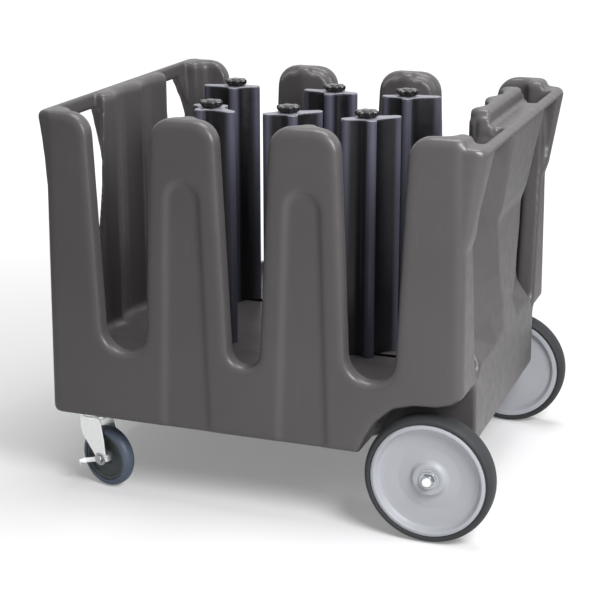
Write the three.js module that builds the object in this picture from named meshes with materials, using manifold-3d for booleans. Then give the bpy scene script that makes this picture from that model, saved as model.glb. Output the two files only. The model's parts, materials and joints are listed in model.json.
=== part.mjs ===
// Plate dispenser cart: a one-piece, double-walled plastic tub with three plate bays down each long
// side, six star-section towers that slide and turn to suit the plates, two large wheels on a through
// axle at one end and two braked swivel casters at the other.
// Millimetres. +Z is up, X runs along the cart with the large wheels at +X, Y runs across it.
// The tub is drawn about its own middle; the finished cart then moves along X, so that the origin is on
// the floor at the middle of its overall length and width.
import * as THREE from 'three';
import { mergeVertices } from 'three/addons/utils/BufferGeometryUtils.js';
import Module from 'manifold-3d';

const wasm = await Module();
wasm.setup();

// ---------------------------------------------------------------- driving dimensions

const GAP = 0.3; // between faces that touch

const WHEEL = {
  radius: 127,
  tread: 13.5, // thickness of the tyre
  width: 48,
  bore: 10,
  boss: 31,
  endInset: 66, // of the axle, from the rear end of the tub
  sideInset: 5, // of the outer face, from the side of the tub
  clearance: 22, // above the tyre, to the roof of its well
};
const wellTop = 2 * WHEEL.radius + WHEEL.clearance;

const TUB = {
  halfLength: 428,
  halfWidth: 367,
  bottom: 165,
  top: 785,
  draft: 10, // how far each end leans in from the bottom to the top
  corner: 18, // plan radius of the corner posts
  round: 12, // rolled top and bottom edges
  skin: 6, // moulded wall of the double-walled shell
  floor: wellTop + 12, // top of the floor that the plates stand on
  sideWall: 36, // depth of a side wall at its corner posts
  endWall: 44, // depth of an end wall at its corner posts
  ridge: 25, // how far the ridge on a side pillar's inner face stands in
  ledge: 2, // the plates stand on a ledge this high along each side
  ledgeInner: 206,
};

// the plate bays along a side, where the middle one is, and how much nearer to it the pillars stand
const BAY = { pitch: TUB.halfLength - 174, middle: -8, pillarInset: 6 };
const PILLAR_X = [-1, 1].map((way) => BAY.middle + way * (BAY.pitch / 2 - BAY.pillarInset));
const OUTER_NOTCH = { low: 48, high: 64 }; // half-widths of a notch at its foot and at its shoulder
const MIDDLE_NOTCH = { low: 32, high: 51 };
// shoulder is the radius of the pillar tops
const NOTCH = { foot: TUB.floor + 22, shoulder: 44, roll: 12, inset: 5 };

const PANEL = { top: TUB.top - 122, halfTop: 30, halfFoot: 46, foot: TUB.bottom - 10, depth: 7, slope: 7 };

const END_NOTCH = {
  foot: NOTCH.foot,
  footCentre: 245,
  footHalf: 17,
  knee: TUB.top - 185,
  kneeInner: 165,
  pillar: 152,
  outer: 300,
  roll: 9,
};

// the flank of an end pillar runs from its inner edge to a fold, and from there to the edge of its outer
// face; rise is a share of the tub's height, and sunk a share of the flank's full depth
const FLANK = {
  foldDepth: 22, // of the fold, from the end face
  edge: 6, // thickness that stays at the pillar's inner edge
  clearance: 4, // of the cutter, in front of the face
  margin: 12, // of the cutter, beyond the pillar's inner edge
  levels: [
    { rise: 0.247, edge: 10, fold: 88, inner: 226, sunk: 0.02 },
    { rise: 0.334, edge: 18, fold: 94, inner: 217, sunk: 0.75 },
    { rise: 0.4725, edge: 70, fold: 107, inner: 194, sunk: 1 },
    { rise: 0.6435, edge: 98, fold: 122, inner: 169, sunk: 1 },
    { rise: 0.8, edge: 118, fold: 136, inner: 158, sunk: 1 },
    { rise: 0.948, edge: 136, fold: 147, inner: 153, sunk: 1 },
  ],
};

// the two ends differ in the rail with its web, and in the pillar: its top, and how far its face stands in
const ENDS = {
  rear: {
    side: 1,
    rail: { out: 28, top: TUB.top - 17, start: TUB.top - 233, bend: 1, mouth: 290 },
    pillar: { top: TUB.top + 15, shoulder: 4, edge: 21, ridge: 23, hollow: 20 },
  },
  front: {
    side: -1,
    rail: { out: 9, top: TUB.top, start: TUB.top - 185, bend: 2, mouth: 258 },
    pillar: { top: TUB.top, shoulder: -10, edge: 3, ridge: 2, hollow: 14 },
  },
};
const PILLAR_HALF = 126; // half-width of an end pillar's inner face
// crown of the taller pillar: its distance behind the end face, and its rounded edge
const CROWN = { back: 20, round: 8 };
const RAIL = {
  thick: 22,
  webThick: 18,
  root: TUB.halfWidth - 3, // how far across the cart the web and its rail reach
  overlap: 4, // of the web with the end wall
  mouthKnee: 312,
  mouthKneeDrop: 137,
  mouthDrop: 39,
};

const wheelX = TUB.halfLength - WHEEL.endInset;
const wheelFace = TUB.halfWidth - WHEEL.sideInset;
const WELL = {
  start: wheelX - WHEEL.radius - 9,
  end: wheelX + 14, // of the front half of the arch
  inner: wheelFace - WHEEL.width - 56,
  top: wellTop,
  lift: 26, // of the roof's end, towards the rear face
  liftStart: 24, // how far before the rear face the roof starts to lift
  round: 10,
  // the front half of the arch, in shares of its length and height
  arch: [[0, 0.02], [0.093, 0.306], [0.227, 0.613], [0.44, 0.874], [0.707, 0.982], [1, 1]],
};
const VENT = 5; // radius

const AXLE = {
  radius: 9.5,
  halfLength: wheelFace + 4,
  washer: 17,
  washerThick: 2.5,
  nut: 13.5,
  nutThick: 9,
  sleeve: 15,
};
const BRACKET = { y: 205, width: 40, halfLength: 58, plate: 4, eye: 20 };

const CASTER = {
  x: 64 - TUB.halfLength,
  y: TUB.halfWidth - 67,
  radius: 63.5,
  rim: 50,
  width: 32,
  trail: 35,
  turned: 17, // degrees that the forks stand turned at rest
  plate: { halfX: 46, halfY: 38, thick: 4, corner: 8 },
  race: { radius: 31, depth: 11 },
  pin: { radius: 8, head: 13, headThick: 4 },
  crown: { radius: 29, thick: 4 },
  leg: { thick: 4, clear: 3, top: 20, foot: 11 },
  bolt: { radius: 5, head: 9, headThick: 6 },
  pedal: { thick: 3, eye: 14, back: 50, front: 31, tilt: 18, half: 5, tab: 13 },
};

const TOWER = {
  y: 131,
  top: TUB.top - 17,
  cap: 3,
  wall: 4,
  longArm: 70, // the arms reach this far from the axis
  backArm: 52,
  sideArm: 40,
  armHalf: 10.5,
  waist: 13, // how near the hollow faces come to the axis
  rod: 5,
  slotHalfWidth: 7,
  slotHalfLength: 57,
  slotPitch: BAY.pitch - 54,
};
const KNOB = { radius: 22, height: 20, lobes: 6, lobeDepth: 2.6 };
const CLAMP = { halfLength: 24, halfWidth: 17, thick: 8 };

// the slot of each tower, how far it stands from the slot's middle, and which way its long arm points
const TOWERS = [
  { name: 'front_left', slot: -1, side: -1, offset: 35, turn: -29 },
  { name: 'middle_left', slot: 0, side: -1, offset: 0, turn: 35 },
  { name: 'rear_left', slot: 1, side: -1, offset: -38, turn: 35 },
  { name: 'front_right', slot: -1, side: 1, offset: -18, turn: 190 },
  { name: 'middle_right', slot: 0, side: 1, offset: 7, turn: 175 },
  { name: 'rear_right', slot: 1, side: 1, offset: -33, turn: 15 },
];
const SIDES = [
  { name: 'left', side: -1 },
  { name: 'right', side: 1 },
];

// ---------------------------------------------------------------- materials

const finish = (color, roughness, metalness) =>
  new THREE.MeshStandardMaterial({ color, roughness, metalness });
const tubPlastic = () => finish(0x5f5c5b, 0.55, 0);
const towerPlastic = () => finish(0x3b3c46, 0.45, 0);
const capPlastic = () => finish(0x8f9097, 0.5, 0);
const knobPlastic = () => finish(0x18181a, 0.35, 0);
const wheelPlastic = () => finish(0xb4b6b9, 0.4, 0);
const tyreRubber = () => finish(0x3a3d41, 0.7, 0);
const zincSteel = () => finish(0xb9bbbd, 0.35, 1);

// ---------------------------------------------------------------- outlines

const v2 = (x, y) => new THREE.Vector2(x, y);
const radians = THREE.MathUtils.degToRad;
const lerp = THREE.MathUtils.lerp;

function arc(cx, cy, radius, from, to, steps) {
  const points = [];
  for (let i = 0; i <= steps; i++) {
    const angle = radians(lerp(from, to, i / steps));
    points.push(v2(cx + radius * Math.cos(angle), cy + radius * Math.sin(angle)));
  }
  return points;
}

function roundedRectangle(halfX, halfY, radius, steps = 3) {
  const x = halfX - radius;
  const y = halfY - radius;
  return [
    ...arc(x, y, radius, 0, 90, steps),
    ...arc(-x, y, radius, 90, 180, steps),
    ...arc(-x, -y, radius, 180, 270, steps),
    ...arc(x, -y, radius, 270, 360, steps),
  ];
}

// moves every side of a closed outline outwards by a distance
function grown(outline, distance) {
  const sense = THREE.ShapeUtils.isClockWise(outline) ? -1 : 1;
  const count = outline.length;
  return outline.map((point, i) => {
    const before = point.clone().sub(outline[(i + count - 1) % count]).normalize();
    const after = outline[(i + 1) % count].clone().sub(point).normalize();
    const bend = 1 + before.dot(after);
    const outwards = v2(before.y + after.y, -before.x - after.x);
    return point.clone().addScaledVector(outwards, (sense * distance) / bend);
  });
}

// ---------------------------------------------------------------- solids

const xy = (u, v, t) => [u, v, t];
const xz = (u, v, t) => [u, t, v];
const yz = (u, v, t) => [t, u, v];

// closed skin through outlines that share one number of points; each section is { outline, at }
function loft(sections, place = xy) {
  const clockwise = THREE.ShapeUtils.isClockWise(sections[0].outline);
  const rings = sections.map(({ outline }) => (clockwise ? [...outline].reverse() : outline));
  const count = rings[0].length;
  const positions = [];
  rings.forEach((ring, level) => {
    for (const point of ring) positions.push(...place(point.x, point.y, sections[level].at));
  });
  const index = [];
  for (let level = 0; level + 1 < sections.length; level++) {
    for (let i = 0; i < count; i++) {
      const a = level * count + i;
      const b = level * count + ((i + 1) % count);
      index.push(a, b, b + count, a, b + count, a + count);
    }
  }
  const last = (sections.length - 1) * count;
  for (const [a, b, c] of THREE.ShapeUtils.triangulateShape(rings[0], [])) index.push(a, c, b);
  for (const [a, b, c] of THREE.ShapeUtils.triangulateShape(rings.at(-1), [])) {
    index.push(last + a, last + b, last + c);
  }
  const geometry = new THREE.BufferGeometry();
  geometry.setAttribute('position', new THREE.Float32BufferAttribute(positions, 3));
  geometry.setIndex(signedVolume(positions, index) < 0 ? index.reverse() : index);
  return geometry;
}

function signedVolume(positions, index) {
  const corner = (i) => new THREE.Vector3().fromArray(positions, index[i] * 3);
  let volume = 0;
  for (let i = 0; i < index.length; i += 3) volume += corner(i).dot(corner(i + 1).cross(corner(i + 2)));
  return volume;
}

function solid(geometry) {
  const bare = geometry.clone();
  bare.deleteAttribute('normal');
  bare.deleteAttribute('uv');
  const merged = mergeVertices(bare, 1e-4);
  const vertProperties = new Float32Array(merged.attributes.position.array);
  return new wasm.Manifold(
    new wasm.Mesh({ numProp: 3, vertProperties, triVerts: new Uint32Array(merged.index.array) }),
  );
}

function geometryOf(manifold) {
  const mesh = manifold.getMesh();
  const geometry = new THREE.BufferGeometry();
  geometry.setAttribute('position', new THREE.BufferAttribute(new Float32Array(mesh.vertProperties), 3));
  geometry.setIndex(new THREE.BufferAttribute(new Uint32Array(mesh.triVerts), 1));
  geometry.computeVertexNormals();
  return geometry;
}

const lofted = (sections, place) => solid(loft(sections, place));
const joined = (parts) => parts.reduce((sum, part) => sum.add(part));
const without = (body, cutters) => cutters.reduce((left, cutter) => left.subtract(cutter), body);

function box(x0, x1, y0, y1, z0, z1) {
  const geometry = new THREE.BoxGeometry(x1 - x0, y1 - y0, z1 - z0);
  return solid(geometry.translate((x0 + x1) / 2, (y0 + y1) / 2, (z0 + z1) / 2));
}

// the profile lists [radius, height] pairs of a closed ring, or of a body that starts and ends on the axis
function turned(profile, segments) {
  const points = profile.map(([radius, height]) => v2(radius, height));
  const onAxis = profile[0][0] === 0 && profile.at(-1)[0] === 0;
  if (!onAxis) points.push(points[0].clone());
  return new THREE.LatheGeometry(points, segments).rotateX(Math.PI / 2);
}

// ---------------------------------------------------------------- tub

const innerHalfLength = TUB.halfLength - TUB.endWall;
const innerHalfWidth = TUB.halfWidth - TUB.sideWall;

// section sizes through a rolled edge: how deep, and how far the outline has moved
const rollSteps = [0, 45, 90].map((degrees) => ({
  depth: 1 - Math.sin(radians(degrees)),
  shift: 1 - Math.cos(radians(degrees)),
}));

// how far the end face stands out at a height, where each end leans in towards the top
const endFaceAt = (z) => TUB.halfLength - (TUB.draft * (z - TUB.bottom)) / (TUB.top - TUB.bottom);

function tubHull() {
  const section = ({ depth, shift }, z) => {
    const at = z === TUB.bottom ? z + TUB.round * shift : z - TUB.round * shift;
    const outline = roundedRectangle(endFaceAt(z), TUB.halfWidth, TUB.corner, 5);
    return { outline: grown(outline, -TUB.round * depth), at };
  };
  const low = rollSteps.map((step) => section(step, TUB.bottom));
  const high = rollSteps.map((step) => section(step, TUB.top));
  return lofted([...low, ...high.reverse()]);
}

// hollow faces of one wall: shallow arcs round each plate bay that meet in ridges between them
function scallops(halfSpan, ridges, depth, steps) {
  const stops = [-halfSpan, ...ridges, halfSpan];
  const points = [];
  for (let bay = 0; bay + 1 < stops.length; bay++) {
    const [start, end] = [stops[bay], stops[bay + 1]];
    const startHeight = bay === 0 ? 0 : depth;
    const endHeight = bay === stops.length - 2 ? 0 : depth;
    for (let i = bay === 0 ? 0 : 1; i <= steps; i++) {
      const share = i / steps;
      const rise = startHeight * (1 - share) ** 2 + endHeight * share ** 2;
      points.push(v2(lerp(start, end, share), rise));
    }
  }
  return points;
}

const innerCorner = 26;

// inner face of an end wall across the cart: flat at the posts, with two hollows and a ridge at the pillar
function endFace({ shoulder, edge, ridge, hollow }) {
  const steps = 5;
  const half = [
    v2(innerHalfWidth - innerCorner, 0),
    v2(END_NOTCH.footCentre, 0),
    v2(END_NOTCH.kneeInner, shoulder),
    v2(END_NOTCH.pillar, shoulder),
  ];
  for (let i = 0; i <= steps; i++) {
    const share = i / steps;
    half.push(v2(PILLAR_HALF * (1 - share), lerp(edge, ridge, share) - 4 * hollow * share * (1 - share)));
  }
  return [...half.slice(0, -1).map((p) => v2(-p.x, p.y)), ...half.reverse()];
}

function cavityOutline() {
  const side = scallops(innerHalfLength - innerCorner, PILLAR_X, TUB.ridge, 6);
  const near = side.map((p) => v2(p.x, -innerHalfWidth + p.y));
  const far = side.map((p) => v2(p.x, innerHalfWidth - p.y)).reverse();
  const rear = endFace(ENDS.rear.pillar).map((p) => v2(innerHalfLength - p.y, p.x));
  const front = endFace(ENDS.front.pillar).map((p) => v2(-innerHalfLength + p.y, -p.x));
  const bend = (x, y, from) => arc(x, y, innerCorner, from, from + 90, 3).slice(1, -1);
  const x = innerHalfLength - innerCorner;
  const y = innerHalfWidth - innerCorner;
  return [
    ...near,
    ...bend(x, -y, 270),
    ...rear,
    ...bend(x, y, 0),
    ...far,
    ...bend(-x, y, 90),
    ...front,
    ...bend(-x, -y, 180),
  ];
}

function cavity() {
  const outline = cavityOutline();
  const roll = rollSteps.map(({ depth, shift }) => ({
    outline: grown(outline, TUB.round * depth),
    at: TUB.top - TUB.round * shift,
  }));
  const above = { outline: grown(outline, TUB.round), at: TUB.top + TUB.round };
  const low = { outline: grown(outline, -TUB.round), at: TUB.floor };
  const foot = { outline, at: TUB.floor + TUB.round };
  const space = lofted([low, foot, ...roll.reverse(), above]);
  const ledges = SIDES.map(({ side }) => {
    const [inner, outer] = [side * TUB.ledgeInner, side * TUB.halfWidth];
    return slab(-TUB.halfLength, TUB.halfLength, inner, outer, 0, TUB.floor + TUB.ledge);
  });
  return without(space, ledges);
}

// a cutter through a wall whose two mouths flare with the rolled edges of the hole
function flaredCutter(outline, outerFace, innerFace, roll, place) {
  const inwards = Math.sign(innerFace - outerFace);
  const flare = (face, direction) =>
    rollSteps.map(({ depth, shift }) => ({
      outline: grown(outline, roll * depth),
      at: face + direction * roll * shift,
    }));
  return lofted(
    [
      { outline: grown(outline, roll), at: outerFace - inwards * roll },
      ...flare(outerFace, inwards),
      ...flare(innerFace, -inwards).reverse(),
      { outline: grown(outline, roll), at: innerFace + inwards * (roll + TUB.ridge) },
    ],
    place,
  );
}

// U-shaped notch of a long side, with the round shoulders of the pillars beside it
function sideNotchOutline(x, { low, high }) {
  const shoulder = TUB.top - NOTCH.shoulder;
  const right = [
    ...arc(x, NOTCH.foot + low, low, -90, 0, 5),
    ...arc(x + high + NOTCH.shoulder, shoulder, NOTCH.shoulder, 180, 90, 5),
    v2(x + high + NOTCH.shoulder, TUB.top + 3 * NOTCH.roll),
  ];
  const left = right.slice(1).map((p) => v2(2 * x - p.x, p.y)).reverse();
  return [...right, ...left];
}

function sideNotches() {
  const cutters = [];
  for (const { side } of SIDES) {
    for (const [bay, size] of [[-1, OUTER_NOTCH], [0, MIDDLE_NOTCH], [1, OUTER_NOTCH]]) {
      const outline = sideNotchOutline(BAY.middle + bay * BAY.pitch, size);
      const inner = side * (innerHalfWidth - NOTCH.inset);
      cutters.push(flaredCutter(outline, side * TUB.halfWidth, inner, NOTCH.roll, xz));
    }
  }
  return cutters;
}

// arch-topped panel sunk into the outer face of a middle pillar
function panels() {
  const cutters = [];
  for (const { side } of SIDES) {
    for (const x of PILLAR_X) {
      const outline = [
        v2(x - PANEL.halfFoot, PANEL.foot),
        v2(x + PANEL.halfFoot, PANEL.foot),
        ...arc(x, PANEL.top - PANEL.halfTop, PANEL.halfTop, 0, 180, 8),
      ];
      const face = side * TUB.halfWidth;
      cutters.push(
        lofted(
          [
            { outline: grown(outline, PANEL.slope), at: face + side * PANEL.depth },
            { outline: grown(outline, PANEL.slope), at: face },
            { outline, at: face - side * PANEL.depth },
          ],
          xz,
        ),
      );
    }
  }
  return cutters;
}

const notchFoot = () =>
  arc(END_NOTCH.footCentre, END_NOTCH.foot + END_NOTCH.footHalf, END_NOTCH.footHalf, 180, 360, 4);

// notch between an end pillar and a corner post
function endNotches() {
  const { knee, kneeInner, pillar, outer, roll } = END_NOTCH;
  const top = TUB.top + 3 * roll;
  const outline = [
    ...notchFoot(),
    v2(outer, knee),
    v2(outer, TUB.top - roll),
    v2(outer + roll, TUB.top),
    v2(outer + roll, top),
    v2(pillar, top),
    v2(pillar, TUB.top),
    v2(kneeInner, knee),
  ];
  const cutters = [];
  for (const end of Object.values(ENDS)) {
    for (const { side } of SIDES) {
      const placed = outline.map((p) => v2(side * p.x, p.y));
      const [outerFace, innerFace] = [end.side * TUB.halfLength, end.side * innerHalfLength];
      cutters.push(flaredCutter(placed, outerFace, innerFace, roll, yz));
    }
  }
  return cutters;
}

const railMiddle = (rail) => rail.top - RAIL.thick / 2;

// how far the outer face of a flared web stands out at a height
function webFaceAt(rail, z) {
  const share = THREE.MathUtils.clamp((z - rail.start) / (railMiddle(rail) - rail.start), 0, 1);
  return lerp(endFaceAt(Math.min(z, rail.start)), TUB.halfLength + rail.out, share ** rail.bend);
}

// folded flanks that narrow an end pillar from its inner face to its outer face
function flanks() {
  const cutters = [];
  for (const end of Object.values(ENDS)) {
    for (const { side } of SIDES) {
      const innerX = innerHalfLength - end.pillar.shoulder + FLANK.edge;
      const sections = FLANK.levels.map(({ rise, edge, fold, inner, sunk }) => {
        const at = lerp(TUB.bottom, TUB.top, rise);
        const face = webFaceAt(end.rail, at) + FLANK.clearance;
        const outline = [
          v2(face, edge),
          v2(lerp(face, TUB.halfLength - FLANK.foldDepth, sunk), fold),
          v2(lerp(face, innerX, sunk), inner),
          v2(lerp(face, innerX, sunk), inner + FLANK.margin),
          v2(face + 1, inner + FLANK.margin),
        ];
        return { outline: outline.map((p) => v2(end.side * p.x, side * p.y)), at };
      });
      cutters.push(lofted(sections));
    }
  }
  return cutters;
}

// flared web and bumper rail that bridges the two notches of an end, with its corners rounded in plan
function endRail({ side, rail }) {
  const root = TUB.halfLength - RAIL.webThick - RAIL.overlap;
  const plan = (face) => {
    const point = (share, drop) => v2(side * lerp(root, face, share), RAIL.root - drop);
    const right = [point(0, 0), point(0.6, 2), point(0.84, 7), point(0.96, 16), point(1, 32)];
    return [...right, ...right.map((p) => v2(p.x, -p.y)).reverse()];
  };
  const round = RAIL.thick / 2;
  const middle = railMiddle(rail);
  const top = webFaceAt(rail, middle);
  const web = [0.25, 0.5, 0.75].map((share) => lerp(rail.start, middle, share));
  return lofted([
    { outline: plan(endFaceAt(rail.start) - 8), at: rail.start },
    ...web.map((at) => ({ outline: plan(webFaceAt(rail, at)), at })),
    { outline: plan(top), at: middle },
    { outline: plan(top - round * 0.3), at: rail.top - round * 0.35 },
    { outline: plan(top - round), at: rail.top },
  ]);
}

// what is taken out of the flared web: the hand holes behind the rail and the mouths of the notches
function railCutters({ side: end, rail }) {
  const cutters = [];
  const wall = innerHalfLength - TUB.ridge;
  const middle = railMiddle(rail);
  for (const { side } of SIDES) {
    const hole = (z) => {
      const share = (z - rail.start) / (middle - rail.start);
      const inner = webFaceAt(rail, z) - lerp(RAIL.webThick, RAIL.thick, Math.min(share, 1));
      const [low, high] = [END_NOTCH.pillar - END_NOTCH.roll, END_NOTCH.outer];
      const outline = [v2(wall, low), v2(inner, low), v2(inner, high), v2(wall, high)];
      return { outline: outline.map((p) => v2(end * p.x, side * p.y)), at: z };
    };
    cutters.push(lofted([hole(rail.start), hole(middle), hole(TUB.top + TUB.round)]));
    const mouthTop = TUB.top - RAIL.mouthDrop;
    const mouth = [
      ...notchFoot(),
      v2(END_NOTCH.outer, END_NOTCH.knee),
      v2(RAIL.mouthKnee, TUB.top - RAIL.mouthKneeDrop),
      v2(rail.mouth, mouthTop),
      v2(END_NOTCH.pillar, mouthTop),
      v2(END_NOTCH.kneeInner, END_NOTCH.knee),
    ];
    const outline = grown(mouth.map((p) => v2(side * p.x, p.y)), END_NOTCH.roll * 0.8);
    const reach = TUB.halfLength + rail.out + 10;
    cutters.push(lofted([{ outline, at: end * wall }, { outline, at: end * reach }], yz));
  }
  return cutters;
}

// crown of a pillar that stands above the tub's top edge
function crown({ side, pillar }) {
  const inner = endFace(pillar).filter((p) => Math.abs(p.x) <= PILLAR_HALF);
  const back = TUB.halfLength - innerHalfLength - CROWN.back;
  const half = END_NOTCH.pillar - END_NOTCH.roll;
  const corners = [v2(half, pillar.shoulder), v2(half, -back), v2(-half, -back), v2(-half, pillar.shoulder)];
  const outline = [...inner, ...corners].map((p) => v2(side * (innerHalfLength - p.y), p.x));
  return lofted([
    { outline: grown(outline, -1), at: TUB.top - 4 * TUB.round },
    { outline: grown(outline, -1), at: pillar.top - CROWN.round },
    { outline: grown(outline, -1 - CROWN.round * 0.3), at: pillar.top - CROWN.round * 0.3 },
    { outline: grown(outline, -1 - CROWN.round), at: pillar.top },
  ]);
}

// arched wells that the large wheels stand in
function wheelWells() {
  const end = TUB.halfLength + TUB.corner;
  const below = TUB.bottom - 2 * WELL.round;
  const outline = [
    v2(WELL.start, below),
    ...WELL.arch.map(([x, z]) => v2(lerp(WELL.start, WELL.end, x), lerp(TUB.bottom, WELL.top, z))),
    v2(TUB.halfLength - WELL.liftStart, WELL.top + WELL.lift * 0.3),
    v2(TUB.halfLength, WELL.top + WELL.lift),
    v2(end, WELL.top + WELL.lift),
    v2(end, below),
  ];
  return SIDES.map(({ side }) =>
    lofted(
      [
        { outline: grown(outline, WELL.round), at: side * (TUB.halfWidth + WELL.round) },
        { outline: grown(outline, WELL.round), at: side * TUB.halfWidth },
        { outline: grown(outline, WELL.round * 0.3), at: side * (TUB.halfWidth - WELL.round * 0.35) },
        { outline, at: side * (TUB.halfWidth - WELL.round) },
        { outline, at: side * (WELL.inner + WELL.round) },
        { outline: grown(outline, -WELL.round), at: side * WELL.inner },
      ],
      xz,
    ),
  );
}

// slots in the floor that the tower rods run in
const slotHigh = TUB.floor + 1;
const slotLow = TUB.floor - TUB.skin - 1;

function floorSlots() {
  return TOWERS.map(({ slot, side }) => {
    const outline = roundedRectangle(TOWER.slotHalfLength, TOWER.slotHalfWidth, TOWER.slotHalfWidth - 0.2, 3);
    const placed = outline.map((p) => v2(p.x + slot * TOWER.slotPitch, p.y + side * TOWER.y));
    return lofted([{ outline: placed, at: slotLow }, { outline: placed, at: slotHigh }]);
  });
}

// the air inside the double wall: the base, the pillars and the corner posts
function shellHollows() {
  const { skin } = TUB;
  const low = TUB.bottom + skin;
  const high = TUB.floor - skin;
  const wellSkin = WELL.round + skin;
  const [x, y] = [endFaceAt(high) - 2 * skin, TUB.halfWidth - 2 * skin];
  const baseOutline = roundedRectangle(x, y, TUB.corner, 4);
  const base = without(lofted([{ outline: baseOutline, at: low }, { outline: baseOutline, at: high }]), [
    box(WELL.start - wellSkin, x + 1, WELL.inner - skin, y + 1, low - 1, high + 1),
    box(WELL.start - wellSkin, x + 1, -y - 1, -WELL.inner + skin, low - 1, high + 1),
  ]);
  const hollows = [base];
  const hollowTop = TUB.top - NOTCH.shoulder - skin;
  const depthOut = TUB.halfWidth - skin - PANEL.depth;
  const depthIn = innerHalfWidth + skin;
  const postEnd = innerHalfLength;
  for (const { side } of SIDES) {
    const [inner, outer] = [side * depthIn, side * depthOut];
    for (const px of PILLAR_X) {
      const half = PANEL.halfTop;
      hollows.push(slab(px - half, px + half, inner, outer, high - skin, hollowTop));
    }
    const bayEdge = BAY.pitch + OUTER_NOTCH.high + NOTCH.roll + skin;
    hollows.push(slab(-postEnd, BAY.middle - bayEdge, inner, outer, high - skin, hollowTop));
    const rearFoot = WELL.top + WELL.lift + WELL.round + skin;
    hollows.push(slab(BAY.middle + bayEdge, postEnd, inner, outer, rearFoot, hollowTop));
    // the hollow of a rear post breathes through a vent in the roof of the wheel well
    const ventLow = WELL.top - skin;
    const vent = new THREE.CylinderGeometry(VENT, VENT, rearFoot + skin - ventLow, 8).rotateX(Math.PI / 2);
    hollows.push(solid(vent.translate(wheelX, (inner + outer) / 2, (rearFoot + skin + ventLow) / 2)));
  }
  return hollows;
}

// a box between any two corners, given in either order
function slab(xa, xb, ya, yb, za, zb) {
  const order = (a, b) => [Math.min(a, b), Math.max(a, b)];
  return box(...order(xa, xb), ...order(ya, yb), ...order(za, zb));
}

function tubBody() {
  let body = without(tubHull(), [cavity(), ...sideNotches(), ...panels(), ...endNotches()]);
  const inside = box(-innerHalfLength, innerHalfLength, -TUB.halfWidth, TUB.halfWidth, 0, TUB.top + 100);
  for (const end of Object.values(ENDS)) {
    const [shelfStart, shelfEnd] = [TUB.halfLength - CROWN.back, TUB.halfLength + TUB.round];
    const [half, above] = [END_NOTCH.pillar, TUB.top + TUB.round];
    const shelf = slab(end.side * shelfStart, end.side * shelfEnd, -half, half, end.rail.top, above);
    body = body.subtract(shelf).add(without(endRail(end), [...railCutters(end), inside]));
    if (end.pillar.top > TUB.top) body = body.add(crown(end));
  }
  body = without(body, [...flanks(), ...wheelWells(), ...shellHollows(), ...floorSlots()]);
  return geometryOf(body);
}

// ---------------------------------------------------------------- towers

// star section: four rounded arms with hollow faces between them
function starOutline(shrink) {
  const points = [];
  const { longArm, sideArm, backArm, armHalf, waist } = TOWER;
  const arms = [longArm, sideArm, backArm, sideArm];
  const half = armHalf - shrink;
  arms.forEach((length, i) => {
    const along = v2(1, 0).rotateAround(v2(0, 0), (i * Math.PI) / 2);
    const across = v2(-along.y, along.x);
    const tip = (out, side) => along.clone().multiplyScalar(out).addScaledVector(across, side);
    const reach = length - shrink;
    points.push(tip(reach - half, -half));
    for (const angle of [-60, -20, 20, 60]) {
      points.push(tip(reach - half + half * Math.cos(radians(angle)), half * Math.sin(radians(angle))));
    }
    points.push(tip(reach - half, half));
    // hollow face to the next arm, a curve pulled towards the axis
    const next = arms[(i + 1) % arms.length] - shrink - half;
    const start = tip(reach - half, half);
    const end = across.clone().multiplyScalar(next).addScaledVector(along, half);
    const pull = along.clone().add(across).multiplyScalar(waist - shrink);
    const curve = new THREE.QuadraticBezierCurve(start, pull, end);
    points.push(...curve.getPoints(5).slice(1, -1));
  });
  return points;
}

function upright(outline, holes, low, high) {
  const shape = new THREE.Shape(outline);
  shape.holes = holes.map((hole) => new THREE.Path(hole));
  const blank = new THREE.ExtrudeGeometry(shape, { depth: high - low, bevelEnabled: false });
  return blank.translate(0, 0, low);
}

const circle = (radius, steps) => arc(0, 0, radius, 0, 360 * (1 - 1 / steps), steps - 1);
const rodHole = () => circle(TOWER.rod + 2 * GAP, 12);

const columnTop = TOWER.top - TOWER.cap - GAP;
const knobLow = TOWER.top + GAP;

function knobGeometry() {
  const { radius, height, lobes, lobeDepth } = KNOB;
  const lobed = (share) =>
    Array.from({ length: lobes * 4 }, (_, i) => {
      const angle = (i / (lobes * 4)) * 2 * Math.PI;
      const r = share * (radius + lobeDepth * Math.cos(lobes * angle));
      return v2(r * Math.cos(angle), r * Math.sin(angle));
    });
  const grip = lofted([
    { outline: lobed(0.62), at: knobLow },
    { outline: lobed(1), at: knobLow + height * 0.42 },
    { outline: lobed(1), at: knobLow + height * 0.85 },
    { outline: lobed(0.86), at: knobLow + height },
  ]);
  const socket = lofted([
    { outline: rodHole(), at: knobLow - 1 },
    { outline: rodHole(), at: rodTop + GAP },
  ]);
  return geometryOf(grip.subtract(socket));
}

const rodTop = knobLow + KNOB.height * 0.7;
const clampTop = TUB.floor - TUB.skin - GAP;
const clampHole = () => circle(TOWER.rod + GAP, 12);

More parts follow.
